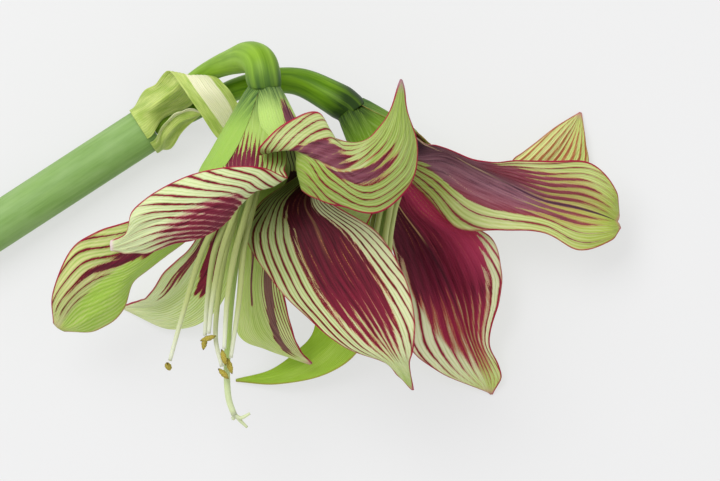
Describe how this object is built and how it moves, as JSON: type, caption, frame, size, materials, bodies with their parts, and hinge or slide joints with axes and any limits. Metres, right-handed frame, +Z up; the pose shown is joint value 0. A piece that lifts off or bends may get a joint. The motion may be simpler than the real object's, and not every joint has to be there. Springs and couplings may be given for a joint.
{
  "type": "cut butterfly amaryllis",
  "caption": "Cut amaryllis scape laid on its side, with a split spathe, pedicels, and open butterfly-type blooms of pale green tepals striped and blotched in crimson and maroon.",
  "frame": {"origin": "middle of the underside of the whole part's box, on the surface that it lies on", "axes": "+X to the right in the picture, along the length of the cut stem with its blooms; +Y to the top of the picture; +Z up from the surface, towards the camera"},
  "size_m": [0.34, 0.155, 0.1143],
  "materials": {
    "scape": "glaucous green skin with a thin waxy bloom and faint lengthwise ribs",
    "spathe": "thin yellow-green sheet with raised veins, drying to a cream-white membrane in the middle",
    "pedicel": "smooth glossy green, darker in bands at the ovary",
    "tepal": "fleshy pale green with a satin sheen, lengthwise veins, crimson stripes and maroon zones",
    "filament": "smooth, whitish green, faintly translucent",
    "style": "smooth pale green",
    "anther": "dry granular olive-yellow, dark brown at the ends"
  },
  "bodies": {
    "root": {"scape": "scape", "spathe_valve_front": "spathe", "spathe_valve_back": "spathe", "pedicel_a": "pedicel", "pedicel_b": "pedicel", "tepal_a1": "tepal", "tepal_a2": "tepal", "tepal_a3": "tepal", "tepal_a4": "tepal", "tepal_a5": "tepal", "tepal_a6": "tepal", "tepal_b1": "tepal", "tepal_b2": "tepal", "tepal_b3": "tepal", "tepal_b4": "tepal", "tepal_b5": "tepal", "tepal_b6": "tepal", "filament_a1": "filament", "anther_a1": "anther", "filament_a2": "filament", "anther_a2": "anther", "filament_a3": "filament", "anther_a3": "anther", "filament_a4": "filament", "anther_a4": "anther", "filament_a5": "filament", "anther_a5": "anther", "filament_a6": "filament", "anther_a6": "anther", "style_a": "style", "filament_b1": "filament", "anther_b1": "anther", "filament_b2": "filament", "anther_b2": "anther", "filament_b3": "filament", "anther_b3": "anther", "filament_b4": "filament", "anther_b4": "anther", "filament_b5": "filament", "anther_b5": "anther", "filament_b6": "filament", "anther_b6": "anther", "style_b": "style"}
  },
  "joints": []
}
